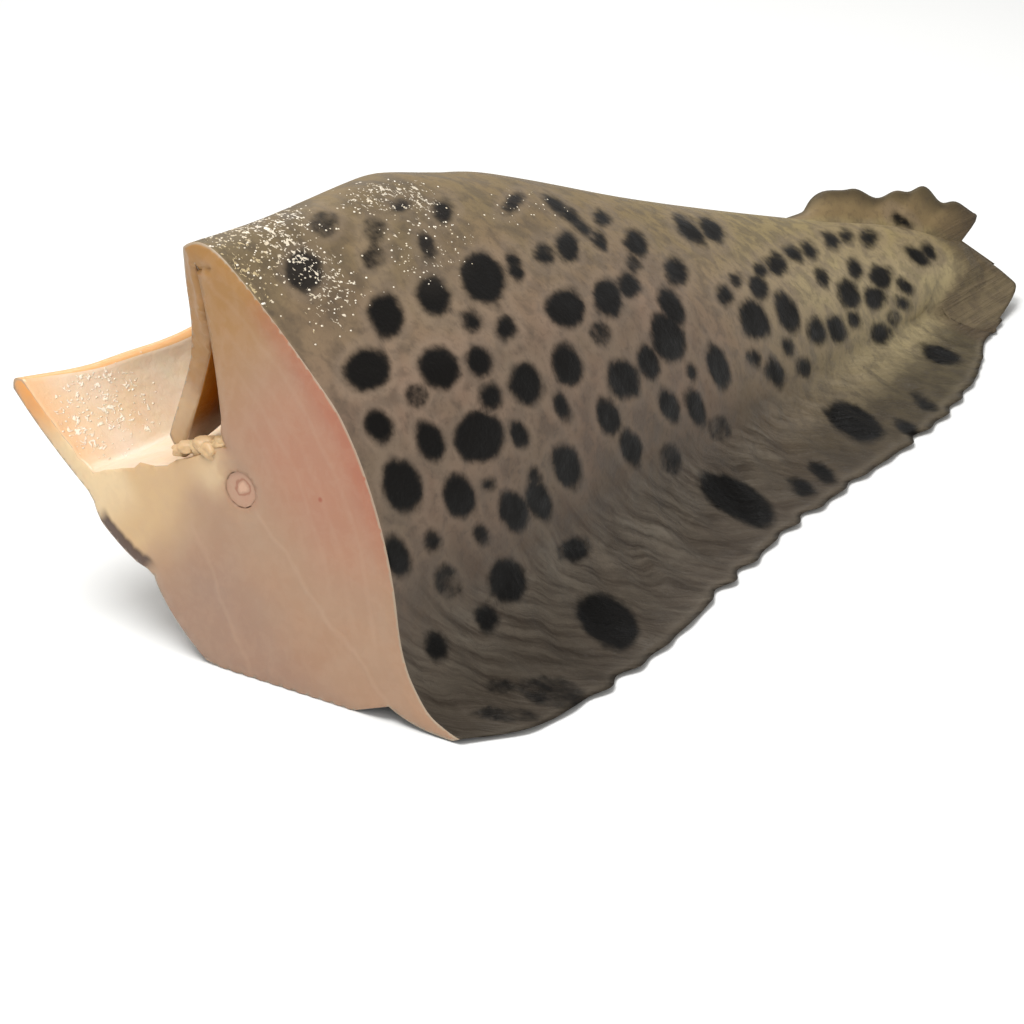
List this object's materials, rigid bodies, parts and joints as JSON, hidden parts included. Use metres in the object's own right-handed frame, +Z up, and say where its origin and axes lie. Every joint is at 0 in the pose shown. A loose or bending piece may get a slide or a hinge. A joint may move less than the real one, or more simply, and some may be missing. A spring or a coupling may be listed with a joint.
{
  "type": "headed and gutted wolffish",
  "caption": "Headed and gutted spotted wolffish lying on its side, belly open at the front, fins along back and belly and a short tail fin.",
  "frame": {"origin": "on the surface it lies on, under the middle of the fish's box", "axes": "+X along the body from the head cut towards the tail, +Y towards the belly's far side, +Z up"},
  "size_m": [0.6654, 0.2658, 0.1911],
  "materials": {
    "skin": "wet spotted fish skin, raw flesh at the cut",
    "bone": "moist, satin"
  },
  "bodies": {
    "root": {"carcass": "skin", "backbone": "bone"}
  },
  "joints": []
}
